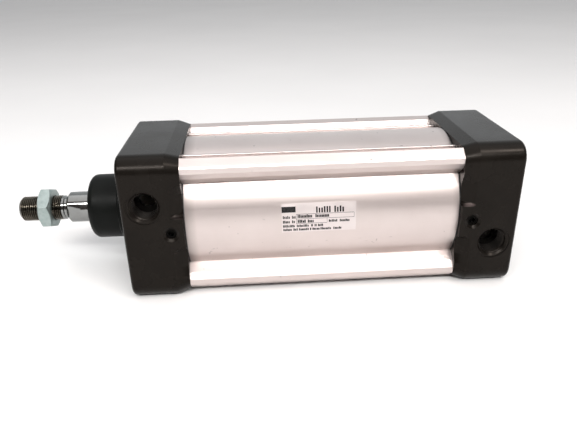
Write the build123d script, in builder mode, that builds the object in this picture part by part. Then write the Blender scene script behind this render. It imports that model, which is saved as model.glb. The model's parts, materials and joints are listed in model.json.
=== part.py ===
"""Double-acting pneumatic cylinder with an extruded profile barrel.

Bore 100 mm, stroke 160 mm. The origin is on the rod axis in the front cover's
mounting face. +X runs along the axis towards the rear cover, so the rod comes out
towards -X. The ports and cushion screws are on the -Y side, and +Z is up.
The rod is modelled fully retracted.
"""
from build123d import *
from math import cos, radians, tan
import os

os.makedirs("parts", exist_ok=True)

# ---------------------------------------------------------------- driving sizes
bore = 100.0
stroke = 160.0
body_length = 138.0 + stroke      # over the two covers' outer faces

# covers
cover_side = 115.0
cover_corner = 13.0
cover_length = 45.0
block_length = 35.0               # full-section part of a cover
face_edge = 3.0                   # rounding round the outer face
shoulder_side = 108.6             # section where a cover meets the barrel
shoulder_corner = 12.0
spigot_length = 8.0               # reaches into the barrel
spigot_radius = bore / 2 - 0.2
screw_pitch = 89.0                # square pattern of the cover screws

# neck at the rod end, seated in the front cover
neck_length = 34.0
neck_radius = 26.0
neck_rounding = 5.5
neck_seat_radius = 17.0           # of the spigot inside the front cover
neck_seat_length = 6.0
centring_radius = 27.45           # 55 mm, tolerance d11
centring_length = 10.0
centring_chamfer = 1.0
recess_radius = 27.5              # rear centring recess, 55 mm H11
recess_depth = 4.0

# air ports, G1/2
port_inset = 17.5                 # from a cover's outer face
port_height = 20.5                # above the axis in front, below it at the rear
port_radius = 10.478
port_depth = 16.0
port_chamfer = 1.4
spotface_radius = 13.2
spotface_depth = 0.6
passage_radius = 6.5

# cushioning
cavity_radius = 19.0
cavity_start = 10.0               # wall left behind the outer face
sleeve_radius = 17.4
sleeve_length = 30.0
cushion_seal_width = 5.0
cushion_seal_inner = 17.55
cushion_seal_outer = 23.0
needle_inset = 35.0
needle_height = -1.6              # of the cushion screw and its pad, against the axis
needle_radius = 3.95
needle_bore_radius = 4.0
needle_mouth_radius = 6.2
needle_mouth_depth = 1.4
needle_sink = 2.4                 # of the screw's face below the cover's
needle_passage_radius = 1.5
needle_passage_depth = 34.0       # distance of the bypass drilling from the axis

# flat pad round the cushion screw, between two hollows in the tapered shoulder
pad_half_height = 12.7
pad_depth = 10.0
pad_overlap = 2.0                 # into the full-section block
ledge_rise = 2.5                  # of the pad's top, which slopes towards the front
ledge_edge_depth = 0.3
hollow_depth = 7.0                # where the cover meets the barrel
hollow_width = 17.0               # at full depth
hollow_fade = 9.0                 # further width over which it runs out
hollow_end_depth = 2.8            # no deeper than the shoulder's own taper
hollow_start = block_length + 0.3
hollow_margin = 1.0               # of the cut beyond the cover's own surfaces

# barrel profile, in one quadrant (y, z)
tube_radius = 54.0
channel_radius = 4.55
rib_outline = (
    (26.5, 44.0), (26.5, 50.3), (29.5, 50.3), (29.5, 46.5), (38.2, 46.5), (40.5, 51.8),
    (46.5, 53.8), (52.4, 48.9), (53.2, 47.3), (53.2, 43.6), (50.2, 38.8), (43.0, 33.0),
    (38.0, 30.0),
)
rib_edge = 0.7

# rod
rod_radius = 12.5
rod_shoulder = 54.0               # ahead of the mounting face, retracted
shoulder_chamfer = 2.0
thread_radius = 10.0              # M20 x 1.5
thread_length = 38.0
tip_chamfer = 2.0
relief_radius = 9.0
relief_length = 3.0
flat_width = 22.0
flat_length = 10.0
flat_setback = 1.5                # from the shoulder
spindle_radius = 8.0              # M16 end that carries the piston
rod_hole_clearance = 0.7          # round the rod, between bush and cushion cavity

# lock nut, M20 x 1.5, thin
nut_across_flats = 30.0
nut_thickness = 10.0
nut_setback = 16.4                # from the rod's tip
engaged_radius = 9.52             # the thread's pitch radius, where rod and nut meet
engaged_clearance = 0.05
engaged_gap = 0.5                 # thread runs full to this far ahead of and behind the nut
nut_mouth = 0.9                   # chamfer of the nut's bore
nut_turn = 37.0                   # degrees, puts a corner towards -Y and a little up

# piston
piston_radius = 49.5
end_gap = 0.3                     # left at each end of the stroke
ring_radius = 49.93
seal_width = 6.0
seal_root_radius = 43.5
magnet_inner = 40.0
guide_inner = 47.4
guide_width = 8.0
bind_gap = 0.05                   # between rings and the piston that turns in them

# buffers
buffer_inner = 37.5
buffer_outer = 44.0
buffer_thickness = 3.0
buffer_stand = 1.0

# cover screws, M10 inside their heads
head_radius = 8.5
head_length = 24.0
counterbore_radius = 8.75
socket_thread_radius = 5.0
socket_thread_depth = 16.0
hex_key_size = 6.0
hex_key_depth = 5.0
shank_radius = 4.5
shank_hole_radius = 4.75
shank_in_barrel = 28.0

# rod bearing and seal
bush_outer = 15.0
bush_inner = 12.55
bush_start = -24.0
bush_end = neck_seat_length
seal_pocket_radius = 16.5
seal_pocket_end = -25.0

# rating label on the barrel's front
label_start = 117.5
label_end = 173.5
label_top = 17.0
label_bottom = -5.5
label_thickness = 0.25

# ---------------------------------------------------------------- derived sizes
tube_start = cover_length
tube_end = body_length - cover_length
mid_plane = Plane.YZ.offset(body_length / 2)
chamber_start = cover_length + spigot_length
chamber_end = body_length - chamber_start
piston_length = (chamber_end - chamber_start) - 2 * buffer_stand - stroke - 2 * end_gap
piston_rear = chamber_end - buffer_stand - end_gap
piston_front = piston_rear - piston_length
piston_middle = (piston_front + piston_rear) / 2


def turned(outline):
    """A body of revolution about the cylinder's axis, from (x, radius) points."""
    with BuildPart() as body:
        with BuildSketch(Plane.XY):
            with BuildLine():
                Polyline(*outline, close=True)
            make_face()
        revolve(axis=Axis.X)
    return body


def ring(start, end, inner, outer):
    """A plain ring about the cylinder's axis."""
    return turned([(start, inner), (start, outer), (end, outer), (end, inner)])


def o_ring(middle, centre_radius, cord_radius):
    """A round-section ring about the cylinder's axis."""
    with BuildPart() as body:
        with BuildSketch(Plane.XY):
            with Locations((middle, centre_radius)):
                Circle(cord_radius)
        revolve(axis=Axis.X)
    return body


# ---------------------------------------------------------------- covers
# What both covers share, with the outer face at X = 0 and the barrel towards +X.
groove_start = cover_length + 2.5
groove_width = 3.0
groove_radius = 47.8
needle_bore_end = needle_passage_depth - 2.0


def shoulder_hollow():
    """The hollow above the pad: a sloping ledge, full depth, then running out to the corner."""
    hollow_sections = (
        (pad_half_height, ledge_edge_depth),
        (pad_half_height + ledge_rise, hollow_depth),
        (pad_half_height + hollow_width, hollow_depth),
        (pad_half_height + hollow_width + hollow_fade, hollow_end_depth),
    )
    outside = -cover_side / 2 - hollow_margin
    with BuildPart() as cut:
        for height, depth in hollow_sections:
            with BuildSketch(Plane.XY.offset(needle_height + height)):
                with BuildLine():
                    Polyline(
                        (hollow_start, outside),
                        (cover_length + hollow_margin, outside),
                        (cover_length + hollow_margin, -cover_side / 2 + depth),
                        (hollow_start, -cover_side / 2),
                        close=True,
                    )
                make_face()
        loft(ruled=True)
    return cut.part


with BuildPart() as cover_blank:
    with BuildSketch(Plane.YZ):
        RectangleRounded(cover_side, cover_side, cover_corner)
    extrude(amount=block_length)
    fillet(cover_blank.faces().sort_by(Axis.X)[0].edges(), face_edge)
    with BuildSketch(Plane.YZ.offset(block_length)):
        RectangleRounded(cover_side, cover_side, cover_corner)
    with BuildSketch(Plane.YZ.offset(cover_length)):
        RectangleRounded(shoulder_side, shoulder_side, shoulder_corner)
    loft()
    # pad that stays level with the block's front face, and a hollow above and below it
    pad_length = cover_length - block_length + pad_overlap
    with Locations((cover_length - pad_length / 2, (pad_depth - cover_side) / 2, needle_height)):
        Box(pad_length, pad_depth, 2 * pad_half_height)
    add(shoulder_hollow(), mode=Mode.SUBTRACT)
    mirror(shoulder_hollow(), about=Plane.XY.offset(needle_height), mode=Mode.SUBTRACT)
    # spigot with grooves for the barrel seal and the buffer
    with BuildSketch(Plane.YZ.offset(cover_length)):
        Circle(spigot_radius)
    extrude(amount=spigot_length)
    with BuildSketch(Plane.YZ.offset(groove_start)):
        Circle(bore / 2)
        Circle(groove_radius, mode=Mode.SUBTRACT)
    extrude(amount=groove_width, mode=Mode.SUBTRACT)
    with BuildSketch(Plane.YZ.offset(chamber_start)):
        Circle(buffer_outer)
        Circle(buffer_inner, mode=Mode.SUBTRACT)
    extrude(amount=-(buffer_thickness - buffer_stand), mode=Mode.SUBTRACT)
    # cushion cavity and the seat of its seal
    with BuildSketch(Plane.YZ.offset(cavity_start)):
        Circle(cavity_radius)
    extrude(amount=chamber_start - cavity_start, mode=Mode.SUBTRACT)
    with BuildSketch(Plane.YZ.offset(chamber_start)):
        Circle(cushion_seal_outer)
    extrude(amount=-cushion_seal_width, mode=Mode.SUBTRACT)
    # screw holes
    with BuildSketch(Plane.YZ):
        with GridLocations(screw_pitch, screw_pitch, 2, 2):
            Circle(shank_hole_radius)
    extrude(amount=cover_length, mode=Mode.SUBTRACT)
    with BuildSketch(Plane.YZ):
        with GridLocations(screw_pitch, screw_pitch, 2, 2):
            Circle(counterbore_radius)
    extrude(amount=head_length, mode=Mode.SUBTRACT)
    # cushion screw: mouth, bore, seat and the bypass drilling to the chamber
    with BuildSketch(Plane.XZ.offset(cover_side / 2)):
        with Locations((needle_inset, needle_height)):
            Circle(needle_bore_radius)
    extrude(amount=-(cover_side / 2 - needle_bore_end), mode=Mode.SUBTRACT)
    with BuildSketch(Plane.XZ.offset(cover_side / 2)):
        with Locations((needle_inset, needle_height)):
            Circle(needle_mouth_radius)
    with BuildSketch(Plane.XZ.offset(cover_side / 2 - needle_mouth_depth)):
        with Locations((needle_inset, needle_height)):
            Circle(needle_bore_radius)
    loft(mode=Mode.SUBTRACT)
    with BuildSketch(Plane.XZ.offset(needle_passage_depth)):
        with Locations((needle_inset, needle_height)):
            Circle(needle_passage_radius)
    extrude(amount=-needle_passage_depth, mode=Mode.SUBTRACT)
    with BuildSketch(Plane.YZ.offset(needle_inset)):
        with Locations((-needle_passage_depth, needle_height)):
            Circle(needle_passage_radius)
    extrude(amount=chamber_start - needle_inset, mode=Mode.SUBTRACT)


def port_cut(height):
    """The space of one air port: spot face, chamfer, thread and inner passage."""
    with BuildPart() as cut:
        with BuildSketch(Plane.XZ.offset(cover_side / 2)):
            with Locations((port_inset, height)):
                Circle(spotface_radius)
        extrude(amount=-spotface_depth)
        with BuildSketch(Plane.XZ.offset(cover_side / 2 - spotface_depth)):
            with Locations((port_inset, height)):
                Circle(port_radius + port_chamfer)
        with BuildSketch(Plane.XZ.offset(cover_side / 2 - spotface_depth - port_chamfer)):
            with Locations((port_inset, height)):
                Circle(port_radius)
        loft()
        with BuildSketch(Plane.XZ.offset(cover_side / 2)):
            with Locations((port_inset, height)):
                Circle(port_radius)
        extrude(amount=-(port_depth + spotface_depth + port_chamfer))
        with BuildSketch(Plane.XZ.offset(cover_side / 2)):
            with Locations((port_inset, height)):
                Circle(passage_radius)
        extrude(amount=-cover_side / 2)
    return cut.part


with BuildPart() as front_cover:
    add(cover_blank.part)
    # seat of the neck, and the hole that the rod passes through
    with BuildSketch(Plane.YZ):
        Circle(neck_seat_radius)
    extrude(amount=neck_seat_length, mode=Mode.SUBTRACT)
    with BuildSketch(Plane.YZ):
        Circle(rod_radius + rod_hole_clearance)
    extrude(amount=chamber_start, mode=Mode.SUBTRACT)
    add(port_cut(port_height), mode=Mode.SUBTRACT)
front_cover.part.label = "front_cover"
export_step(front_cover.part, "parts/front_cover.step")

with BuildPart() as front_neck:
    with BuildSketch(Plane.YZ):
        Circle(centring_radius)
    extrude(amount=-centring_length)
    chamfer(front_neck.faces().sort_by(Axis.X)[0].edges(), centring_chamfer)
    with BuildSketch(Plane.YZ):
        Circle(neck_radius)
    extrude(amount=-neck_length)
    fillet(front_neck.faces().sort_by(Axis.X)[0].edges(), neck_rounding)
    with BuildSketch(Plane.YZ):
        Circle(neck_seat_radius)
    extrude(amount=neck_seat_length)
    # stepped bore for the rod seal and the bush
    with BuildSketch(Plane.YZ.offset(-neck_length)):
        Circle(seal_pocket_radius)
    extrude(amount=neck_length + seal_pocket_end, mode=Mode.SUBTRACT)
    with BuildSketch(Plane.YZ.offset(-neck_length)):
        Circle(bush_outer)
    extrude(amount=neck_length + neck_seat_length, mode=Mode.SUBTRACT)
front_neck.part.label = "front_neck"
export_step(front_neck.part, "parts/front_neck.step")

with BuildPart() as rear_cover:
    mirror(cover_blank.part, about=mid_plane)
    with BuildSketch(Plane.YZ.offset(body_length)):
        Circle(recess_radius)
    extrude(amount=-recess_depth, mode=Mode.SUBTRACT)
    mirror(port_cut(-port_height), about=mid_plane, mode=Mode.SUBTRACT)
rear_cover.part.label = "rear_cover"
export_step(rear_cover.part, "parts/rear_cover.step")

# ---------------------------------------------------------------- barrel
with BuildSketch() as rib:
    with BuildLine():
        Polyline(*rib_outline, close=True)
    make_face()
    outer_corners = rib.vertices().filter_by(lambda v: v.Y > 49 or v.X > 49.5)
    fillet(outer_corners, rib_edge)

with BuildPart() as barrel_tube:
    with BuildSketch(Plane.YZ.offset(tube_start)):
        add(rib.sketch)
        mirror(about=Plane.YZ)
        mirror(about=Plane.XZ)
        Circle(tube_radius)
        Circle(bore / 2, mode=Mode.SUBTRACT)
        with GridLocations(screw_pitch, screw_pitch, 2, 2):
            Circle(channel_radius, mode=Mode.SUBTRACT)
    extrude(amount=tube_end - tube_start)
barrel_tube.part.label = "barrel_tube"
export_step(barrel_tube.part, "parts/barrel_tube.step")

with BuildPart() as rating_label:
    with BuildSketch(Plane.YZ.offset(label_start)):
        Circle(tube_radius + label_thickness)
        Circle(tube_radius, mode=Mode.SUBTRACT)
        with Locations((-tube_radius, (label_top + label_bottom) / 2)):
            Rectangle(20, label_top - label_bottom, mode=Mode.INTERSECT)
    extrude(amount=label_end - label_start)
rating_label.part.label = "rating_label"
export_step(rating_label.part, "parts/rating_label.step")

# ---------------------------------------------------------------- cover screws
with BuildPart() as front_cover_screws:
    with BuildSketch(Plane.YZ):
        with GridLocations(screw_pitch, screw_pitch, 2, 2):
            Circle(head_radius)
            Circle(socket_thread_radius, mode=Mode.SUBTRACT)
    extrude(amount=socket_thread_depth)
    with BuildSketch(Plane.YZ.offset(socket_thread_depth)):
        with GridLocations(screw_pitch, screw_pitch, 2, 2):
            Circle(head_radius)
            RegularPolygon(hex_key_size / 2, 6, major_radius=False, mode=Mode.SUBTRACT)
    extrude(amount=hex_key_depth)
    with BuildSketch(Plane.YZ.offset(socket_thread_depth + hex_key_depth)):
        with GridLocations(screw_pitch, screw_pitch, 2, 2):
            Circle(head_radius)
    extrude(amount=head_length - socket_thread_depth - hex_key_depth)
    with BuildSketch(Plane.YZ.offset(head_length)):
        with GridLocations(screw_pitch, screw_pitch, 2, 2):
            Circle(shank_radius)
    extrude(amount=cover_length - head_length + shank_in_barrel)
front_cover_screws.part.label = "front_cover_screws"
export_step(front_cover_screws.part, "parts/front_cover_screws.step")

with BuildPart() as rear_cover_screws:
    mirror(front_cover_screws.part, about=mid_plane)
rear_cover_screws.part.label = "rear_cover_screws"
export_step(rear_cover_screws.part, "parts/rear_cover_screws.step")

# ---------------------------------------------------------------- seals and bush in the covers
barrel_seal_cord = 1.08
barrel_seal_radius = groove_radius + barrel_seal_cord + 0.02

front_barrel_seal = o_ring(groove_start + groove_width / 2, barrel_seal_radius, barrel_seal_cord)
front_barrel_seal.part.label = "front_barrel_seal"
export_step(front_barrel_seal.part, "parts/front_barrel_seal.step")

rear_barrel_seal = o_ring(
    body_length - groove_start - groove_width / 2, barrel_seal_radius, barrel_seal_cord
)
rear_barrel_seal.part.label = "rear_barrel_seal"
export_step(rear_barrel_seal.part, "parts/rear_barrel_seal.step")

seat = chamber_start - cushion_seal_width
front_cushion_seal = turned([
    (seat, cushion_seal_inner + 1.6), (seat, cushion_seal_outer), (chamber_start, cushion_seal_outer),
    (chamber_start, cushion_seal_inner + 0.8), (chamber_start - 0.9, cushion_seal_inner),
    (seat + 1.5, cushion_seal_inner),
])
front_cushion_seal.part.label = "front_cushion_seal"
export_step(front_cushion_seal.part, "parts/front_cushion_seal.step")

with BuildPart() as rear_cushion_seal:
    mirror(front_cushion_seal.part, about=mid_plane)
rear_cushion_seal.part.label = "rear_cushion_seal"
export_step(rear_cushion_seal.part, "parts/rear_cushion_seal.step")

front_buffer = ring(
    chamber_start + buffer_stand - buffer_thickness, chamber_start + buffer_stand,
    buffer_inner, buffer_outer,
)
front_buffer.part.label = "front_buffer"
export_step(front_buffer.part, "parts/front_buffer.step")

rear_buffer = ring(
    chamber_end - buffer_stand, chamber_end - buffer_stand + buffer_thickness,
    buffer_inner, buffer_outer,
)
rear_buffer.part.label = "rear_buffer"
export_step(rear_buffer.part, "parts/rear_buffer.step")

rod_bush = ring(bush_start, bush_end, bush_inner, bush_outer)
rod_bush.part.label = "rod_bush"
export_step(rod_bush.part, "parts/rod_bush.step")

# wiper and seal in one: an outer lip that stands a little out of the neck, an inner lip
lip_radius = rod_radius + 0.04
lip_back = seal_pocket_radius - 3.2
rod_seal = turned([
    (seal_pocket_end, seal_pocket_radius), (-neck_length + 0.6, seal_pocket_radius),
    (-neck_length, seal_pocket_radius - 0.6), (-neck_length, lip_back),
    (-neck_length - 1.2, lip_radius + 0.5), (-neck_length - 1.2, lip_radius),
    (-neck_length + 0.8, lip_radius), (-neck_length + 2.4, lip_back - 0.6),
    (seal_pocket_end - 3.0, lip_back - 0.6), (seal_pocket_end - 1.4, lip_radius),
    (seal_pocket_end, lip_radius),
])
rod_seal.part.label = "rod_seal"
export_step(rod_seal.part, "parts/rod_seal.step")

# ---------------------------------------------------------------- piston rod
rod_tip = -rod_shoulder - thread_length
nut_start = rod_tip + nut_setback
nut_end = nut_start + nut_thickness
thread_depth = thread_radius - engaged_radius
sleeve_flange = 3.0
piston_nut_thickness = 10.0
spindle_stand = 2.0               # beyond the piston's nut
spindle_end = piston_rear + sleeve_flange + piston_nut_thickness + spindle_stand

with BuildPart() as piston_rod:
    with BuildSketch(Plane.XY):
        with BuildLine():
            Polyline(
                (rod_tip, 0),
                (rod_tip, thread_radius - tip_chamfer),
                (rod_tip + tip_chamfer, thread_radius),
                (nut_start - engaged_gap, thread_radius),
                (nut_start - engaged_gap + thread_depth, engaged_radius),
                (nut_end + engaged_gap - thread_depth, engaged_radius),
                (nut_end + engaged_gap, thread_radius),
                (-rod_shoulder - relief_length, thread_radius),
                (-rod_shoulder - relief_length + thread_radius - relief_radius, relief_radius),
                (-rod_shoulder, relief_radius),
                (-rod_shoulder, rod_radius - shoulder_chamfer),
                (-rod_shoulder + shoulder_chamfer, rod_radius),
                (piston_front, rod_radius),
                (piston_front, spindle_radius),
                (spindle_end - 1, spindle_radius),
                (spindle_end, spindle_radius - 1),
                (spindle_end, 0),
                close=True,
            )
        make_face()
    revolve(axis=Axis.X)
    flats_middle = -rod_shoulder + flat_setback + flat_length / 2
    with Locations((flats_middle, flat_width, 0), (flats_middle, -flat_width, 0)):
        Box(flat_length, flat_width, 3 * rod_radius, mode=Mode.SUBTRACT)
piston_rod.part.label = "piston_rod"
export_step(piston_rod.part, "parts/piston_rod.step")

# ---------------------------------------------------------------- lock nut on the rod's thread
nut_corner = nut_across_flats / 2 / cos(radians(30))
nut_crown = nut_across_flats / 2 - 0.8
crown_depth = (nut_corner - nut_crown) * tan(radians(30))

with BuildPart() as lock_nut:
    with BuildSketch(Plane.YZ.offset(nut_start)):
        RegularPolygon(nut_across_flats / 2, 6, major_radius=False, rotation=nut_turn)
    extrude(amount=nut_thickness)
    with BuildSketch(Plane.XY):
        with BuildLine():
            Polyline(
                (nut_start, 0),
                (nut_start, nut_crown),
                (nut_start + crown_depth, nut_corner),
                (nut_end - crown_depth, nut_corner),
                (nut_end, nut_crown),
                (nut_end, 0),
                close=True,
            )
        make_face()
    revolve(axis=Axis.X, mode=Mode.INTERSECT)
    with BuildSketch(Plane.YZ.offset(nut_start)):
        Circle(engaged_radius + engaged_clearance)
    extrude(amount=nut_thickness, mode=Mode.SUBTRACT)
    chamfer(lock_nut.edges().filter_by(GeomType.CIRCLE).sort_by(SortBy.RADIUS)[:2], nut_mouth)
lock_nut.part.label = "lock_nut"
export_step(lock_nut.part, "parts/lock_nut.step")

# ---------------------------------------------------------------- piston, in two halves
hub_radius = spindle_radius + 0.05
seal_margin = 3.0
seal_groove_start = piston_front + seal_margin
seal_groove_end = seal_groove_start + seal_width
guide_start = piston_middle - guide_width / 2

piston_front_half = turned([
    (piston_front, hub_radius),
    (piston_front, piston_radius - 1),
    (piston_front + 1, piston_radius),
    (seal_groove_start, piston_radius),
    (seal_groove_start, seal_root_radius - bind_gap),
    (seal_groove_end, seal_root_radius - bind_gap),
    (seal_groove_end, piston_radius),
    (guide_start, piston_radius),
    (guide_start, magnet_inner),
    (piston_middle, magnet_inner),
    (piston_middle, hub_radius),
])
piston_front_half.part.label = "piston_front_half"
export_step(piston_front_half.part, "parts/piston_front_half.step")

with BuildPart() as piston_rear_half:
    mirror(piston_front_half.part, about=Plane.YZ.offset(piston_middle))
piston_rear_half.part.label = "piston_rear_half"
export_step(piston_rear_half.part, "parts/piston_rear_half.step")

piston_magnet = ring(guide_start, guide_start + guide_width, magnet_inner, guide_inner - bind_gap)
piston_magnet.part.label = "piston_magnet"
export_step(piston_magnet.part, "parts/piston_magnet.step")

# guide ring and lip seals: they slide with the piston, which can turn inside them
guide_ring = ring(
    guide_start + bind_gap, guide_start + guide_width - bind_gap, guide_inner, ring_radius
)
guide_ring.part.label = "guide_ring"
export_step(guide_ring.part, "parts/guide_ring.step")

lip_width = 2.0
front_piston_seal = turned([
    (seal_groove_start + bind_gap, seal_root_radius),
    (seal_groove_start + bind_gap, seal_root_radius + lip_width),
    (seal_groove_start + 3.6, seal_root_radius + lip_width),
    (seal_groove_start + bind_gap, ring_radius - 1.6),
    (seal_groove_start + bind_gap, ring_radius),
    (seal_groove_start + 2.4, ring_radius),
    (seal_groove_start + 3.4, ring_radius - 0.6),
    (seal_groove_end - bind_gap, ring_radius - 0.6),
    (seal_groove_end - bind_gap, seal_root_radius),
])
front_piston_seal.part.label = "front_piston_seal"
export_step(front_piston_seal.part, "parts/front_piston_seal.step")

with BuildPart() as rear_piston_seal:
    mirror(front_piston_seal.part, about=Plane.YZ.offset(piston_middle))
rear_piston_seal.part.label = "rear_piston_seal"
export_step(rear_piston_seal.part, "parts/rear_piston_seal.step")

# ---------------------------------------------------------------- cushion sleeves and piston nut
sleeve_taper = 4.0
front_cushion_sleeve = turned([
    (piston_front - sleeve_length, rod_radius),
    (piston_front - sleeve_length, sleeve_radius - 1.2),
    (piston_front - sleeve_length + sleeve_taper, sleeve_radius),
    (piston_front, sleeve_radius),
    (piston_front, rod_radius),
])
front_cushion_sleeve.part.label = "front_cushion_sleeve"
export_step(front_cushion_sleeve.part, "parts/front_cushion_sleeve.step")

sleeve_bore = 14.4
rear_cushion_sleeve = turned([
    (piston_rear, hub_radius),
    (piston_rear, sleeve_radius),
    (piston_rear + sleeve_length - sleeve_taper, sleeve_radius),
    (piston_rear + sleeve_length, sleeve_radius - 1.2),
    (piston_rear + sleeve_length, sleeve_bore),
    (piston_rear + sleeve_flange, sleeve_bore),
    (piston_rear + sleeve_flange, hub_radius),
])
rear_cushion_sleeve.part.label = "rear_cushion_sleeve"
export_step(rear_cushion_sleeve.part, "parts/rear_cushion_sleeve.step")

piston_nut_flats = 24.0
with BuildPart() as piston_nut:
    with BuildSketch(Plane.YZ.offset(piston_rear + sleeve_flange)):
        RegularPolygon(piston_nut_flats / 2, 6, major_radius=False)
        Circle(spindle_radius, mode=Mode.SUBTRACT)
    extrude(amount=piston_nut_thickness)
piston_nut.part.label = "piston_nut"
export_step(piston_nut.part, "parts/piston_nut.step")

# ---------------------------------------------------------------- cushion adjusting screws
needle_head_end = 48.0            # distances from the axis, along the screw
needle_shank_end = needle_passage_depth + 3.0
needle_point = 28.0
needle_ring_start = 50.5
needle_ring_width = 2.0
needle_ring_cord = 0.75
needle_core = 2.5
needle_key = 4.5
needle_key_depth = 3.0
needle_edge = 0.3
needle_tip = 0.5
needle_face = cover_side / 2 - needle_sink

with BuildPart() as front_cushion_screw:
    with BuildSketch(Plane.XZ.offset(needle_face)):
        with Locations((needle_inset, needle_height)):
            Circle(needle_radius)
    extrude(amount=-(needle_face - needle_head_end))
    chamfer(front_cushion_screw.faces().sort_by(Axis.Y)[0].edges(), needle_edge)
    with BuildSketch(Plane.XZ.offset(needle_ring_start + needle_ring_width)):
        with Locations((needle_inset, needle_height)):
            Circle(needle_bore_radius)
            Circle(needle_radius - 2 * needle_ring_cord, mode=Mode.SUBTRACT)
    extrude(amount=-needle_ring_width, mode=Mode.SUBTRACT)
    with BuildSketch(Plane.XZ.offset(needle_head_end)):
        with Locations((needle_inset, needle_height)):
            Circle(needle_core)
    extrude(amount=-(needle_head_end - needle_shank_end))
    with BuildSketch(Plane.XZ.offset(needle_shank_end)):
        with Locations((needle_inset, needle_height)):
            Circle(needle_core)
    with BuildSketch(Plane.XZ.offset(needle_point)):
        with Locations((needle_inset, needle_height)):
            Circle(needle_tip)
    loft()
    with BuildSketch(Plane.XZ.offset(needle_face)):
        with Locations((needle_inset, needle_height)):
            RegularPolygon(needle_key / 2, 6, major_radius=False)
    extrude(amount=-needle_key_depth, mode=Mode.SUBTRACT)
front_cushion_screw.part.label = "front_cushion_screw"
export_step(front_cushion_screw.part, "parts/front_cushion_screw.step")

with BuildPart() as rear_cushion_screw:
    mirror(front_cushion_screw.part, about=mid_plane)
rear_cushion_screw.part.label = "rear_cushion_screw"
export_step(rear_cushion_screw.part, "parts/rear_cushion_screw.step")

with BuildPart() as front_screw_ring:
    with BuildSketch(Plane.XY.offset(needle_height)):
        with Locations((
            needle_inset + needle_radius - needle_ring_cord,
            -needle_ring_start - needle_ring_width / 2,
        )):
            Circle(needle_ring_cord)
    revolve(axis=Axis((needle_inset, 0, needle_height), (0, 1, 0)))
front_screw_ring.part.label = "front_screw_ring"
export_step(front_screw_ring.part, "parts/front_screw_ring.step")

with BuildPart() as rear_screw_ring:
    mirror(front_screw_ring.part, about=mid_plane)
rear_screw_ring.part.label = "rear_screw_ring"
export_step(rear_screw_ring.part, "parts/rear_screw_ring.step")
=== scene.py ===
"""Looks of the pneumatic cylinder: materials, threads, label print, floor, lights and camera.

Everything is in metres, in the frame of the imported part: the rod's axis is X, the ports are
on the -Y side, +Z is up, and the front cover's mounting face is at X = 0.
"""
import json
import math
import random
import bpy
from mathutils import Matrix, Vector


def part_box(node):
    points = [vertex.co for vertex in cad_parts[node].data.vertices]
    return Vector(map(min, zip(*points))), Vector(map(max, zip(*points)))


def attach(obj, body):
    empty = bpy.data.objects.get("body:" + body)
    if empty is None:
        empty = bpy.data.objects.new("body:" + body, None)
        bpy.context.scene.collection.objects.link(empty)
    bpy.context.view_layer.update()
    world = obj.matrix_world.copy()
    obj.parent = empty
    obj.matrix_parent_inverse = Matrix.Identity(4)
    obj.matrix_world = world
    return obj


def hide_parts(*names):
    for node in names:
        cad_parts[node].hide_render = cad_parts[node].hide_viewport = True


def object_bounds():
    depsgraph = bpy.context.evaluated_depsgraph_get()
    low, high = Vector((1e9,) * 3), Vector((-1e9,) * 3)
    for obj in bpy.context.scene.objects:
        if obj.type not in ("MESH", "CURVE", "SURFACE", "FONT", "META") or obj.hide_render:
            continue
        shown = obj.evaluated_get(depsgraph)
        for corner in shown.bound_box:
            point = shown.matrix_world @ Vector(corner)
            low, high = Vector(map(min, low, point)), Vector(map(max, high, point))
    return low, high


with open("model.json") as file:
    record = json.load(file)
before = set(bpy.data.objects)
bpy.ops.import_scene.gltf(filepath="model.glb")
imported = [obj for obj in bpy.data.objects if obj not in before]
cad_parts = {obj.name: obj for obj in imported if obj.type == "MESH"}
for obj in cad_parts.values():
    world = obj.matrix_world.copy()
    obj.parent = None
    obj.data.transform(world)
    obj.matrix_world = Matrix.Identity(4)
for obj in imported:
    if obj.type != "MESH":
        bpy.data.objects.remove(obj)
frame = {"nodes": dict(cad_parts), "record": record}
cad_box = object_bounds()
nodes = frame["nodes"]

MM = 0.001


# ---------------------------------------------------------------- places and sizes on the part
FLOOR_Z = cad_box[0][2]
MOUNTING_FACE_X = 0.0
REAR_FACE_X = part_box("rear_cover")[1].x
PORT_FACE_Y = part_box("front_cover")[0].y
tube_low, tube_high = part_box("barrel_tube")
BARREL_R = 54 * MM                                  # of the round wall between the ribs

PORT_INSET = 17.5 * MM                              # from each cover's outer face
PORT_HEIGHT = 20.5 * MM                             # above the axis in front, below it at the rear
PORTS = {
    "front": (MOUNTING_FACE_X + PORT_INSET, PORT_HEIGHT),
    "rear": (REAR_FACE_X - PORT_INSET, -PORT_HEIGHT),
}

ROD_PITCH = 1.5 * MM
THREAD_CREST = 10.0 * MM                            # the two radii of the rod's thread
THREAD_ROOT = 9.1 * MM


# ---------------------------------------------------------------- material helpers
# a Mix node has sockets for every data type; these are the ones for colours
MIX_COLOUR_INPUTS = (6, 7)
MIX_COLOUR_OUTPUT = 2


def map_range(tree, source, start, end, low, high):
    """source from start..end turned into low..high, and held there beyond."""
    made = tree.nodes.new("ShaderNodeMapRange")
    for socket, value in (("From Min", start), ("From Max", end), ("To Min", low), ("To Max", high)):
        made.inputs[socket].default_value = value
    tree.links.new(source, made.inputs["Value"])
    return made.outputs["Result"]


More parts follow.
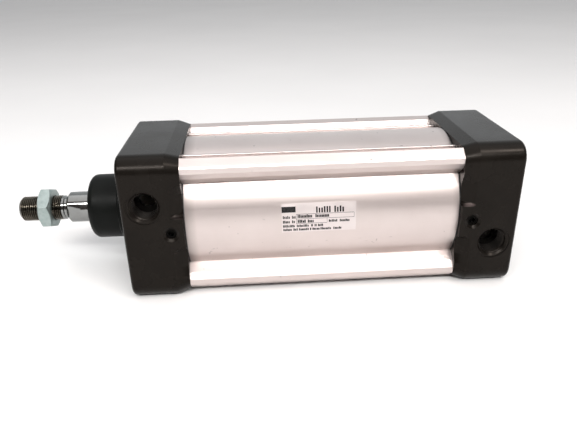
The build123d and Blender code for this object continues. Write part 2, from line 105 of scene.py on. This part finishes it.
class Shader:
    """A node tree with one Principled BSDF, and short calls for what feeds it."""

    def __init__(self, name, **sockets):
        self.material = bpy.data.materials.new(name)
        self.material.use_nodes = True
        self.tree = self.material.node_tree
        self.bsdf = self.tree.nodes["Principled BSDF"]
        self.place = self.node("ShaderNodeTexCoord").outputs["Object"]
        for socket, value in sockets.items():
            self.bsdf.inputs[socket.replace("_", " ")].default_value = value

    def node(self, kind, **settings):
        made = self.tree.nodes.new(kind)
        for key, value in settings.items():
            setattr(made, key, value)
        return made

    def link(self, source, target):
        self.tree.links.new(source, target)

    def stretched(self, x, y, z):
        """Object coordinates scaled on each axis, for streaks."""
        mapping = self.node("ShaderNodeMapping")
        mapping.inputs["Scale"].default_value = (x, y, z)
        self.link(self.place, mapping.inputs["Vector"])
        return mapping.outputs["Vector"]

    def along_x(self):
        """The X of the object coordinates."""
        split = self.node("ShaderNodeSeparateXYZ")
        self.link(self.place, split.inputs["Vector"])
        return split.outputs["X"]

    def noise(self, scale, detail=3.0, roughness=0.55, place=None):
        made = self.node("ShaderNodeTexNoise")
        made.inputs["Scale"].default_value = scale
        made.inputs["Detail"].default_value = detail
        made.inputs["Roughness"].default_value = roughness
        self.link(place or self.place, made.inputs["Vector"])
        return made.outputs["Fac"]

    def between(self, source, low, high, start=0.0, end=1.0):
        """source from start..end turned into low..high."""
        return map_range(self.tree, source, start, end, low, high)

    def near(self, point, inner, outer, amount, scale=(1.0, 1.0, 1.0)):
        """amount within inner of a point, fading to 0 at outer.

        A scale below 1 makes the spot longer on that axis, and 0 makes it endless.
        """
        made = self.node("ShaderNodeVectorMath", operation="DISTANCE")
        self.link(self.stretched(*scale), made.inputs[0])
        made.inputs[1].default_value = [value * factor for value, factor in zip(point, scale)]
        return self.between(made.outputs["Value"], amount, 0.0, inner, outer)

    def near_axis(self, inner, outer, amount):
        """amount within inner of the rod's axis, fading to 0 at outer."""
        return self.near((0.0, 0.0, 0.0), inner, outer, amount, (0.0, 1.0, 1.0))

    def times(self, first, second):
        made = self.node("ShaderNodeMath", operation="MULTIPLY")
        self.link(first, made.inputs[0])
        self.link(second, made.inputs[1])
        return made.outputs["Value"]

    def colours(self, source, first, second):
        """A ramp between two stops, each a position and a colour, driven by source."""
        made = self.node("ShaderNodeValToRGB")
        for element, (position, colour) in zip(made.color_ramp.elements, (first, second)):
            element.position = position
            element.color = (*colour, 1.0)
        self.link(source, made.inputs["Fac"])
        return made.outputs["Color"]

    def mixed(self, factor, first, second):
        """first where factor is 0, second where it is 1; each is a colour or a socket."""
        made = self.node("ShaderNodeMix", data_type="RGBA")
        self.link(factor, made.inputs["Factor"])
        for index, value in zip(MIX_COLOUR_INPUTS, (first, second)):
            if isinstance(value, tuple):
                made.inputs[index].default_value = (*value, 1.0)
            else:
                self.link(value, made.inputs[index])
        return made.outputs[MIX_COLOUR_OUTPUT]

    def bumped(self, height, distance, strength):
        made = self.node("ShaderNodeBump")
        made.inputs["Strength"].default_value = strength
        made.inputs["Distance"].default_value = distance
        self.link(height, made.inputs["Height"])
        return made.outputs["Normal"]

    def feed(self, **sockets):
        for socket, source in sockets.items():
            self.link(source, self.bsdf.inputs[socket.replace("_", " ")])
        return self.material


# ---------------------------------------------------------------- materials
def painted_pad_edge_highlights(s, colour):
    """Painted highlights: a paler spot where each cushion pad's upper edge meets the hollow above it,
    standing in for the light that edge catches.
    """
    edge_y = PORT_FACE_Y + 1.1 * MM
    edge_z = 11.9 * MM
    front = (41.0 * MM, 0.05)                       # x, and how strong the painted highlight is
    rear = (REAR_FACE_X - 39.5 * MM, 0.26)
    for x, amount in (front, rear):
        edge_highlight = s.near((x, edge_y, edge_z), 1.0 * MM, 2.4 * MM, amount, (0.4, 1.0, 1.35))
        # painted highlight: a pale colour where the pad's edge would catch the light
        colour = s.mixed(edge_highlight, colour, (0.36, 0.28, 0.27))
    return colour


def painted_port_light(s, colour):
    """Painted light inside the two ports: a slightly paler wall, and a pale metal-like colour further in,
    where the bores would otherwise be in deep shade.
    """
    wall_y = PORT_FACE_Y + 16.5 * MM                # near the foot of the threaded bore
    depth_y = PORT_FACE_Y + 37.5 * MM               # middle of the passage that follows it
    painted_wall_light = (0.0065, 0.006, 0.0055)
    painted_depth_light = (0.30, 0.29, 0.26)
    for x, z in PORTS.values():
        wall = s.near((x, wall_y, z), 14.2 * MM, 15.6 * MM, 1.0)
        depth = s.near((x, depth_y, z), 8.5 * MM, 10.0 * MM, 1.0, (1.0, 0.42, 1.0))
        # painted light: the shaded insides of the bores are made paler
        colour = s.mixed(depth, s.mixed(wall, colour, painted_wall_light), painted_depth_light)
    return colour


def cover_coat():
    """Satin black coat on a casting: faint grain, slightly warm, a few paler rubbed places, painted
    highlights on the pads' edges and painted light inside the ports.
    """
    s = Shader("cover_coat", Metallic=0.0, Specular_IOR_Level=0.125, Specular_Tint=(1.0, 0.90, 0.82, 1.0))
    grain = s.noise(900.0, 4.0)
    cloud = s.noise(45.0, 3.0)
    rubbed = s.between(s.noise(160.0, 5.0, 0.7), 0.0, 0.35, 0.66, 0.80)
    colour = s.colours(cloud, (0.30, (0.0042, 0.0034, 0.0027)), (0.72, (0.0066, 0.0054, 0.0044)))
    colour = painted_port_light(s, painted_pad_edge_highlights(s, colour))
    return s.feed(
        Base_Color=s.mixed(rubbed, colour, (0.024, 0.020, 0.018)),
        Roughness=s.between(cloud, 0.22, 0.31, 0.3, 0.7),
        Normal=s.bumped(grain, 0.00005, 0.5),
    )


def neck_coat():
    """The smoother, cooler black of the turned neck."""
    s = Shader("neck_coat", Metallic=0.0, Specular_IOR_Level=0.08)
    cloud = s.noise(70.0, 3.0)
    rings = s.noise(1.0, 3.0, 0.6, s.stretched(900.0, 6.0, 6.0))
    return s.feed(
        Base_Color=s.colours(cloud, (0.30, (0.0034, 0.0040, 0.0036)), (0.72, (0.0052, 0.0060, 0.0055))),
        Roughness=s.between(cloud, 0.36, 0.46, 0.3, 0.7),
        Normal=s.bumped(rings, 0.00002, 0.4),
    )


def painted_shade_at_barrel_ends(s, colour):
    """Painted shade: the round wall, not the ribs, is darker for a few millimetres beside each cover."""
    wall = s.near_axis(BARREL_R + 0.3 * MM, BARREL_R + 2 * MM, 1.0)
    x = s.along_x()
    for cover_x, amount, reach in ((tube_low.x, 0.62, 9.0 * MM), (tube_high.x, 0.45, -6.0 * MM)):
        shade_beside_cover = s.between(x, amount, 0.0, cover_x, cover_x + reach)
        # painted shade: a darker colour where the covers shade the barrel's wall
        colour = s.mixed(s.times(wall, shade_beside_cover), colour, (0.20, 0.175, 0.165))
    return colour


def barrel_alloy():
    """Clear-anodised extrusion: fine lines along the barrel, faint blotches, marks and scuffs."""
    s = Shader("barrel_alloy", Metallic=1.0)
    lines = s.noise(1.0, 4.0, 0.6, s.stretched(6.0, 1400.0, 1400.0))
    cloud = s.noise(28.0, 4.0, 0.6)
    mark = s.between(s.noise(150.0, 2.0, 0.5), 0.0, 0.65, 0.72, 0.76)
    scuff = s.between(s.noise(1.0, 3.0, 0.6, s.stretched(70.0, 260.0, 260.0)), 0.0, 0.55, 0.70, 0.74)
    colour = s.colours(cloud, (0.25, (0.605, 0.535, 0.515)), (0.75, (0.655, 0.585, 0.565)))
    colour = painted_shade_at_barrel_ends(s, colour)
    return s.feed(
        Base_Color=s.mixed(scuff, s.mixed(mark, colour, (0.26, 0.23, 0.22)), (0.34, 0.31, 0.30)),
        Roughness=s.between(lines, 0.34, 0.43, 0.3, 0.7),
        Normal=s.bumped(lines, 0.00002, 0.35),
    )


def chrome():
    """Hard chrome on the ground rod, with the faint rings that polishing leaves."""
    s = Shader("rod_chrome", Metallic=1.0)
    rings = s.noise(1.0, 3.0, 0.6, s.stretched(2600.0, 8.0, 8.0))
    smear = s.noise(60.0, 4.0, 0.6)
    return s.feed(
        Base_Color=s.colours(smear, (0.3, (0.21, 0.215, 0.21)), (0.7, (0.27, 0.275, 0.27))),
        Roughness=s.between(smear, 0.07, 0.16, 0.3, 0.7),
        Normal=s.bumped(rings, 0.000006, 0.3),
    )


def thread_steel():
    """Rolled thread: brownish steel on its crests, painted shade in its roots."""
    s = Shader("thread_steel", Metallic=1.0)
    cloud = s.noise(260.0, 5.0, 0.65)
    colour = s.colours(cloud, (0.32, (0.120, 0.105, 0.082)), (0.70, (0.22, 0.202, 0.170)))
    # painted shade: the roots of the thread are darkened
    root_shade = s.near_axis(THREAD_ROOT + 0.2 * MM, THREAD_CREST - 0.1 * MM, 0.9)
    return s.feed(
        Base_Color=s.mixed(root_shade, colour, (0.010, 0.008, 0.006)),
        Roughness=s.between(cloud, 0.15, 0.26, 0.3, 0.7),
        Normal=s.bumped(s.noise(2400.0), 0.000005, 0.3),
    )


def zinc():
    """Bright zinc plate: a cold blue-green white with a mottled gloss."""
    s = Shader("zinc_steel", Metallic=0.8)
    cloud = s.noise(220.0, 4.0, 0.6)
    return s.feed(
        Base_Color=s.colours(cloud, (0.3, (0.27, 0.33, 0.32)), (0.7, (0.39, 0.45, 0.44))),
        Roughness=s.between(cloud, 0.34, 0.48, 0.3, 0.7),
        Normal=s.bumped(s.noise(1500.0, 4.0), 0.00002, 0.4),
    )


def black_steel():
    """Blackened steel of the cushion screws."""
    s = Shader("black_steel", Metallic=1.0)
    cloud = s.noise(300.0, 4.0)
    return s.feed(
        Base_Color=s.colours(cloud, (0.3, (0.0035, 0.0035, 0.003)), (0.7, (0.008, 0.0075, 0.007))),
        Roughness=s.between(cloud, 0.32, 0.5, 0.3, 0.7),
    )


def plain_surface(name, dark, light, roughness, grain_scale, grain_depth, metallic=0.0, specular=0.5):
    """A material with a mottled colour and gloss and a fine grain."""
    s = Shader(name, Metallic=metallic, Specular_IOR_Level=specular)
    cloud = s.noise(grain_scale / 6, 4.0)
    return s.feed(
        Base_Color=s.colours(cloud, (0.3, dark), (0.7, light)),
        Roughness=s.between(cloud, roughness - 0.05, roughness + 0.07, 0.3, 0.7),
        Normal=s.bumped(s.noise(grain_scale, 3.0), grain_depth, 0.5),
    )


COVER = cover_coat()
NECK = neck_coat()
BARREL = barrel_alloy()
CHROME = chrome()
THREAD = thread_steel()
ZINC = zinc()
BLACK_STEEL = black_steel()
RUBBER = plain_surface("seal_rubber", (0.016, 0.016, 0.017), (0.030, 0.029, 0.029), 0.55, 1800.0, 0.00002)
BRONZE = plain_surface("bush_bronze", (0.46, 0.30, 0.14), (0.62, 0.43, 0.22), 0.34, 1500.0, 0.00001, 1.0)
PISTON = plain_surface("piston_alloy", (0.62, 0.62, 0.63), (0.74, 0.74, 0.75), 0.30, 1200.0, 0.00001, 1.0)
MAGNET = plain_surface("magnet", (0.05, 0.045, 0.043), (0.09, 0.08, 0.076), 0.60, 1500.0, 0.00002)
SLEEVE = plain_surface("sleeve_plastic", (0.72, 0.69, 0.61), (0.82, 0.80, 0.73), 0.42, 1400.0, 0.00001)
LABEL = plain_surface("label_film", (0.67, 0.61, 0.60), (0.72, 0.66, 0.65), 0.46, 500.0, 0.00001, 0.85)
INK = plain_surface(
    "label_ink", (0.008, 0.008, 0.009), (0.030, 0.029, 0.029), 0.60, 4000.0, 0.00001, specular=0.1
)

SLOT_MATERIALS = {
    "cover_paint": COVER, "barrel_alloy": BARREL, "rod_chrome": CHROME, "zinc_steel": ZINC,
    "seal_rubber": RUBBER, "bush_bronze": BRONZE, "piston_alloy": PISTON, "magnet": MAGNET,
    "sleeve_plastic": SLEEVE, "label": LABEL, "dark_steel": BLACK_STEEL,
}
for part in frame["record"]["subparts"]:
    node = nodes[part["node"]]
    node.data.materials.clear()
    node.data.materials.append(SLOT_MATERIALS[part["material_slot"]])
# the neck shares the covers' slot, with a finish of its own
nodes["front_neck"].data.materials[0] = NECK


# ---------------------------------------------------------------- mesh helpers
SHARP_ANGLE = math.radians(35)


def piece_from(name, points, faces, *materials):
    """An object from points and faces, smooth apart from its sharp edges."""
    mesh = bpy.data.meshes.new(name)
    mesh.from_pydata(points, [], faces)
    for material in materials:
        mesh.materials.append(material)
    mesh.validate()
    mesh.shade_smooth()
    mesh.set_sharp_from_angle(angle=SHARP_ANGLE)
    made = bpy.data.objects.new(name, mesh)
    bpy.context.scene.collection.objects.link(made)
    return made


def ring_faces(rings, segments):
    """Quads between each ring of points and the next."""
    faces = []
    for i in range(rings - 1):
        this = i * segments
        following = this + segments
        for j in range(segments):
            k = (j + 1) % segments
            faces.append((this + j, this + k, following + k, following + j))
    return faces


# ---------------------------------------------------------------- the rod with a real thread
ROD_SEGMENTS = 96
RINGS_PER_TURN = 10
CREST_STEEPNESS = 1.16                              # above 1, so that the crest has a small flat
THREADED_END = 38 * MM                              # from the rod's tip to its shoulder
HAIR = 0.001 * MM                                   # between two rings where the section steps


def thread_radius(x, turn):
    """Radius of the rod's vee thread at x and a turn of 0..1."""
    phase = (x / ROD_PITCH - turn) % 1.0
    rise = abs(2.0 * phase - 1.0)
    return THREAD_ROOT + (THREAD_CREST - THREAD_ROOT) * min(1.0, rise * CREST_STEEPNESS)


def build_rod():
    """The whole rod as one turned body: helical thread, relief, flats, shank and spindle."""
    low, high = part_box("piston_rod")
    nut_low, nut_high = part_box("lock_nut")
    piston_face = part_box("piston_front_half")[0].x
    tip, end = low.x, high.x
    rod_r = high.z
    tip_r = 8 * MM
    tip_chamfer = 2 * MM
    bare_r = 9.5 * MM                               # under the nut
    clear = 0.5 * MM                                # from each face of the nut to the turns
    fall = 0.3 * MM                                 # over which the turns fall to the bare radius
    gap = 0.1 * MM                                  # between stretches of rings, in x or radius
    shoulder = tip + THREADED_END
    thread_end = shoulder - 4.6 * MM                # where the turns stop and a plain run-out begins
    runout_r = 9.75 * MM
    relief_r = 9 * MM
    relief_length = 2.2 * MM
    relief_slope = 0.7 * MM
    shoulder_chamfer = 2 * MM
    flat_inset = 1.5 * MM                           # so the flats start inside the chamfer
    flat_start = shoulder + flat_inset
    flat_end = flat_start + 10 * MM
    flat_start_r = rod_r - (shoulder_chamfer - flat_inset)
    half_flats = 11 * MM
    spindle_r = 8 * MM                              # where the piston sits
    spindle_chamfer = 1 * MM

    rings = []                                      # (x, radius, None) or, threaded, (x, None, limit)

    def plain(x, radius):
        rings.append((x, radius, None))

    def threaded(start, stop, start_limit, stop_limit):
        steps = max(2, round((stop - start) / (ROD_PITCH / RINGS_PER_TURN)))
        for i in range(steps + 1):
            t = i / steps
            limit = start_limit + (stop_limit - start_limit) * t
            rings.append((start + (stop - start) * t, None, limit))

    plain(tip, 0.0)
    plain(tip, tip_r - gap)
    threaded(tip + gap / 2, tip + tip_chamfer, tip_r, THREAD_CREST)
    threaded(tip + tip_chamfer + gap, nut_low.x - clear, THREAD_CREST, THREAD_CREST)
    plain(nut_low.x - clear + fall, bare_r)
    plain(nut_high.x + clear - fall, bare_r)
    threaded(nut_high.x + clear, thread_end, THREAD_CREST, THREAD_CREST)
    plain(thread_end + gap, runout_r)
    plain(shoulder - relief_length - relief_slope, runout_r)
    plain(shoulder - relief_length, relief_r)
    plain(shoulder, relief_r)
    plain(shoulder, rod_r - shoulder_chamfer)
    # two rings a hair apart, so that the flats' front end is square
    plain(flat_start, flat_start_r)
    plain(flat_start + HAIR, flat_start_r)
    plain(shoulder + shoulder_chamfer, rod_r)
    # the first ring here is just past the flats, so they slope out to it; the rest lie along the shank
    for x in (flat_end + HAIR, flat_end + 0.5 * MM, -20 * MM, 0.0, 60 * MM, 120 * MM, piston_face):
        plain(x, rod_r)
    plain(piston_face, spindle_r)
    plain(end - spindle_chamfer, spindle_r)
    plain(end, spindle_r - spindle_chamfer)
    plain(end, 0.0)

    points = []
    for x, radius, limit in rings:
        on_flats = flat_start + HAIR / 2 < x < flat_end + HAIR / 2
        for j in range(ROD_SEGMENTS):
            turn = j / ROD_SEGMENTS
            r = min(limit, thread_radius(x, turn)) if radius is None else radius
            y = -r * math.cos(math.tau * turn)
            z = r * math.sin(math.tau * turn)
            if on_flats:
                y = max(-half_flats, min(half_flats, y))
            points.append((x, y, z))
    rod = piece_from("rod", points, ring_faces(len(rings), ROD_SEGMENTS), CHROME, THREAD)
    for polygon in rod.data.polygons:
        if polygon.center.x < thread_end:
            polygon.material_index = 1
    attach(rod, "rod")
    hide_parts("piston_rod")


build_rod()


# ---------------------------------------------------------------- internal threads
# a ridge's section: pitches along, and heights towards the axis
RIDGE_PROFILE = ((-0.42, -0.02), (-0.08, 1.0), (0.08, 1.0), (0.42, -0.02))
RIDGE_STEPS_PER_TURN = 48
RIDGE_FADE_TURNS = 0.6


def thread_ridge(name, mouth, inward, wall_r, height, pitch, length, material):
    """The helical ridge of an internal thread, from a mouth point along inward."""
    inward = Vector(inward).normalized()
    across = inward.orthogonal().normalized()
    third = inward.cross(across)
    steps = int(length / pitch * RIDGE_STEPS_PER_TURN)
    fade = RIDGE_STEPS_PER_TURN * RIDGE_FADE_TURNS
    points = []
    for i in range(steps + 1):
        angle = math.tau * i / RIDGE_STEPS_PER_TURN
        grown = min(1.0, i / fade, (steps - i) / fade)
        radial = across * math.cos(angle) + third * math.sin(angle)
        base = Vector(mouth) + inward * (length * i / steps)
        for along, towards in RIDGE_PROFILE:
            r = wall_r - height * (towards if towards < 0 else towards * grown)
            points.append(tuple(base + inward * (along * pitch) + radial * r))
    corners = len(RIDGE_PROFILE)
    faces = ring_faces(steps + 1, corners)
    faces.append(tuple(range(corners))[::-1])
    faces.append(tuple(steps * corners + k for k in range(corners)))
    ridge = piece_from(name, points, faces, material)
    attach(ridge, "barrel")


def port_threads():
    """G 1/2 threads, which start below each port's spot face."""
    wall_r = 10.478 * MM
    height = 1.162 * MM
    pitch = 1.814 * MM
    mouth_y = PORT_FACE_Y + 2.9 * MM
    length = 13.5 * MM
    for end_name, (x, z) in PORTS.items():
        thread_ridge(
            f"{end_name}_port_thread", (x, mouth_y, z), (0, 1, 0),
            wall_r, height, pitch, length, COVER,
        )


def socket_threads():
    """M10 threads in the ends of the eight cover screws."""
    offset = 44.5 * MM
    wall_r = 5.0 * MM
    height = 0.81 * MM
    pitch = 1.5 * MM
    start_depth = 1.2 * MM
    length = 14 * MM
    corners = [(y, z) for y in (-offset, offset) for z in (-offset, offset)]
    for end_name, face_x, inward in (("front", MOUNTING_FACE_X, 1), ("rear", REAR_FACE_X, -1)):
        mouth_x = face_x + inward * start_depth
        for index, (y, z) in enumerate(corners):
            thread_ridge(
                f"{end_name}_socket_thread_{index + 1}", (mouth_x, y, z), (inward, 0, 0),
                wall_r, height, pitch, length, ZINC,
            )


port_threads()
socket_threads()


# ---------------------------------------------------------------- dark ring of painted shade where barrel meets cover
JOINT_WIDTH = 0.7 * MM
JOINT_SEGMENTS = 192


def joint_shade_ring(name, x):
    """A thin flat dark ring round the barrel's end, standing just proud of it: painted shade where the
    barrel meets the cover.
    """
    inner = BARREL_R - 0.3 * MM
    outer = BARREL_R + 0.12 * MM
    crown = BARREL_R + 0.05 * MM
    section = ((0.0, inner), (0.0, crown), (0.25, outer), (0.75, outer), (1.0, crown), (1.0, inner))
    points = []
    for along, r in section:
        for j in range(JOINT_SEGMENTS):
            angle = math.tau * j / JOINT_SEGMENTS
            points.append((x + along * JOINT_WIDTH, r * math.cos(angle), r * math.sin(angle)))
    faces = ring_faces(len(section), JOINT_SEGMENTS)
    last = (len(section) - 1) * JOINT_SEGMENTS
    for j in range(JOINT_SEGMENTS):
        k = (j + 1) % JOINT_SEGMENTS
        faces.append((last + j, last + k, k, j))
    # a dark rubber colour, standing in for the shade in the joint
    made = piece_from(name, points, faces, RUBBER)
    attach(made, "barrel")


joint_shade_ring("front_joint_line", tube_low.x)
joint_shade_ring("rear_joint_line", tube_high.x - JOINT_WIDTH)


# ---------------------------------------------------------------- print on the label
LABEL_R = BARREL_R + 0.25 * MM
INK_THICKNESS = 0.03 * MM
INK_ROW = 1.2 * MM                                  # how often a patch bends to follow the label


def label_print():
    """Plain blocks and bars in rows, as thin closed patches that follow the label.

    Places are in mm: across from the label's left edge, and up from the axis.
    """
    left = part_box("rating_label")[0].x
    points = []
    faces = []

    def patch(x0, x1, z0, z1):
        rows = max(1, round((z1 - z0) / INK_ROW))
        start = len(points)
        for i in range(rows + 1):
            z = z0 + (z1 - z0) * i / rows
            for r in (LABEL_R - INK_THICKNESS / 3, LABEL_R + INK_THICKNESS):
                y = -math.sqrt(r * r - z * z)
                points.append((x0, y, z))
                points.append((x1, y, z))
        for i in range(rows):
            a = start + 4 * i
            b = a + 4
            faces.append((a + 2, a + 3, b + 3, b + 2))
            faces.append((a, b, b + 1, a + 1))
            faces.append((a, a + 2, b + 2, b))
            faces.append((a + 1, b + 1, b + 3, a + 3))
        faces.append((start, start + 1, start + 3, start + 2))
        last = start + 4 * rows
        faces.append((last, last + 2, last + 3, last + 1))

    chance = random.Random(7)

    def words(z, height, bar, gap, *spans):
        """Words on the line at height z: bars, the first of a word and a few others taller."""
        for start, stop in spans:
            count = max(1, round((stop - start + gap) / (bar + gap)))
            step = (stop - start + gap) / count
            for i in range(count):
                tall = i == 0 or chance.random() < 0.3
                top = z + height * (0.55 if tall else 0.34)
                width = (step - gap) * chance.uniform(0.9, 1.08)
                x = left + (start + i * step) * MM
                patch(x, x + width * MM, (z - height / 2) * MM, top * MM)

    # maker's block, title, two labelled entries with their frame, and two lines of small print
    words(12.5, 4.1, 10.9, 0.0, (0.1, 11.0))
    words(11.7, 4.4, 1.10, 0.70, (25.9, 36.9), (39.6, 46.9))
    words(6.7, 2.1, 0.85, 0.24, (0.8, 6.0), (7.7, 10.4))
    words(7.2, 2.4, 0.95, 0.20, (11.9, 22.9), (25.3, 35.6))
    words(3.1, 2.1, 0.85, 0.24, (0.8, 5.9), (7.7, 9.8))
    words(3.2, 2.3, 0.95, 0.24, (11.9, 18.0), (19.5, 24.0))
    words(2.8, 1.9, 0.80, 0.22, (35.4, 41.8), (43.7, 51.1))
    words(-0.4, 1.9, 0.85, 0.22, (0.8, 9.7), (11.2, 20.2), (22.1, 23.4), (24.6, 26.2), (27.2, 31.0))
    words(-3.4, 1.9, 0.85, 0.22, (1.0, 7.4), (8.6, 11.9), (12.8, 20.2), (21.2, 22.1), (23.0, 28.4))
    words(-3.4, 1.9, 0.85, 0.22, (29.1, 37.0), (38.9, 45.0))
    frame_left, frame_right, lower_right = 10.9, 54.6, 34.0
    frame_top, frame_middle, frame_bottom = 8.9, 5.2, 1.5
    half_level = 0.13                               # half the width of the frame's level lines
    upright = 0.2                                   # width of its upright lines
    for z, stop in ((frame_top, frame_right), (frame_middle, frame_right), (frame_bottom, lower_right)):
        patch(left + frame_left * MM, left + stop * MM, (z - half_level) * MM, (z + half_level) * MM)
    for x, low_z, high_z in (
        (frame_left, frame_bottom, frame_top),
        (frame_right - upright / 2, frame_middle, frame_top),
        (lower_right, frame_bottom, frame_middle),
    ):
        patch(left + x * MM, left + (x + upright) * MM, low_z * MM, high_z * MM)
    print_piece = piece_from("label_print", points, faces, INK)
    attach(print_piece, "barrel")


label_print()


# ---------------------------------------------------------------- floor, lights, camera
FLOOR_SIZE = 6.0
FLOOR_CELLS = 24
FLOOR_CENTRE = (0.15, 1.0)
LIT_POINT = (0.15, 0.0, 0.0)                        # where every light looks
SKY_FRONT = 0.12
SKY_BACK = 1.0
SKY_LEFT = 0.35
SKY_WARM = (1.0, 0.85, 0.81)
SKY_COOL = (0.95, 0.98, 1.0)


def floor_plaster():
    s = Shader("floor", Metallic=0.0)
    cloud = s.noise(3.0, 4.0)
    return s.feed(
        Base_Color=s.colours(cloud, (0.3, (0.79, 0.79, 0.79)), (0.7, (0.82, 0.82, 0.82))),
        Roughness=s.between(cloud, 0.7, 0.8),
    )


def build_floor():
    points = []
    for i in range(FLOOR_CELLS + 1):
        x = (i / FLOOR_CELLS - 0.5) * FLOOR_SIZE + FLOOR_CENTRE[0]
        for j in range(FLOOR_CELLS + 1):
            y = (j / FLOOR_CELLS - 0.5) * FLOOR_SIZE + FLOOR_CENTRE[1]
            points.append((x, y, FLOOR_Z))
    faces = []
    for i in range(FLOOR_CELLS):
        for j in range(FLOOR_CELLS):
            a = i * (FLOOR_CELLS + 1) + j
            faces.append((a, a + FLOOR_CELLS + 1, a + FLOOR_CELLS + 2, a + 1))
    floor = piece_from("floor", points, faces, floor_plaster())


def area_light(name, place, width, depth, power, colour):
    data = bpy.data.lights.new(name, "AREA")
    data.shape = "RECTANGLE"
    data.size = width
    data.size_y = depth
    data.energy = power
    data.color = colour
    light = bpy.data.objects.new(name, data)
    light.location = place
    light.rotation_euler = (Vector(LIT_POINT) - Vector(place)).to_track_quat("-Z", "Y").to_euler()
    bpy.context.scene.collection.objects.link(light)


def build_world():
    """Dim plain surroundings: paler behind than in front, dimmer towards the rod's end."""
    world = bpy.data.worlds.new("studio")
    world.use_nodes = True
    tree = world.node_tree
    background = tree.nodes["Background"]
    split = tree.nodes.new("ShaderNodeSeparateXYZ")
    tree.links.new(tree.nodes.new("ShaderNodeTexCoord").outputs["Generated"], split.inputs["Vector"])
    depth = map_range(tree, split.outputs["Y"], -1.0, 1.0, SKY_FRONT, SKY_BACK)
    side = map_range(tree, split.outputs["X"], -1.0, -0.1, SKY_LEFT, 1.0)
    strength = tree.nodes.new("ShaderNodeMath")
    strength.operation = "MULTIPLY"
    tree.links.new(depth, strength.inputs[0])
    tree.links.new(side, strength.inputs[1])
    tree.links.new(strength.outputs["Value"], background.inputs["Strength"])
    ramp = tree.nodes.new("ShaderNodeValToRGB")
    for element, colour in zip(ramp.color_ramp.elements, (SKY_WARM, SKY_COOL)):
        element.color = (*colour, 1.0)
    tree.links.new(map_range(tree, split.outputs["Y"], -1.0, 0.4, 0.0, 1.0), ramp.inputs["Fac"])
    tree.links.new(ramp.outputs["Color"], background.inputs["Color"])
    bpy.context.scene.world = world


def build_camera():
    data = bpy.data.cameras.new("camera")
    data.sensor_width = 36.0
    data.lens = 35.38
    data.clip_start = 0.01
    camera = bpy.data.objects.new("camera", data)
    camera.location = (0.1016, -0.4378, 0.1848)
    camera.rotation_euler = [math.radians(a) for a in (65.25, 1.087, -3.632)]
    bpy.context.scene.collection.objects.link(camera)
    bpy.context.scene.camera = camera


build_floor()
build_world()
# a long strip in front, a wide panel overhead, and a small window high on the right
area_light("key", (-0.05, -1.20, 1.10), 1.90, 0.16, 29.0, (1.0, 0.985, 0.97))
area_light("overhead", (0.10, -0.15, 1.4), 2.4, 1.4, 11.0, (1.0, 0.98, 0.98))
area_light("window", (1.35, -1.35, 2.40), 0.60, 0.40, 22.0, (1.0, 0.93, 0.88))
build_camera()

bpy.context.scene.view_settings.view_transform = "Standard"

bpy.context.view_layer.update()
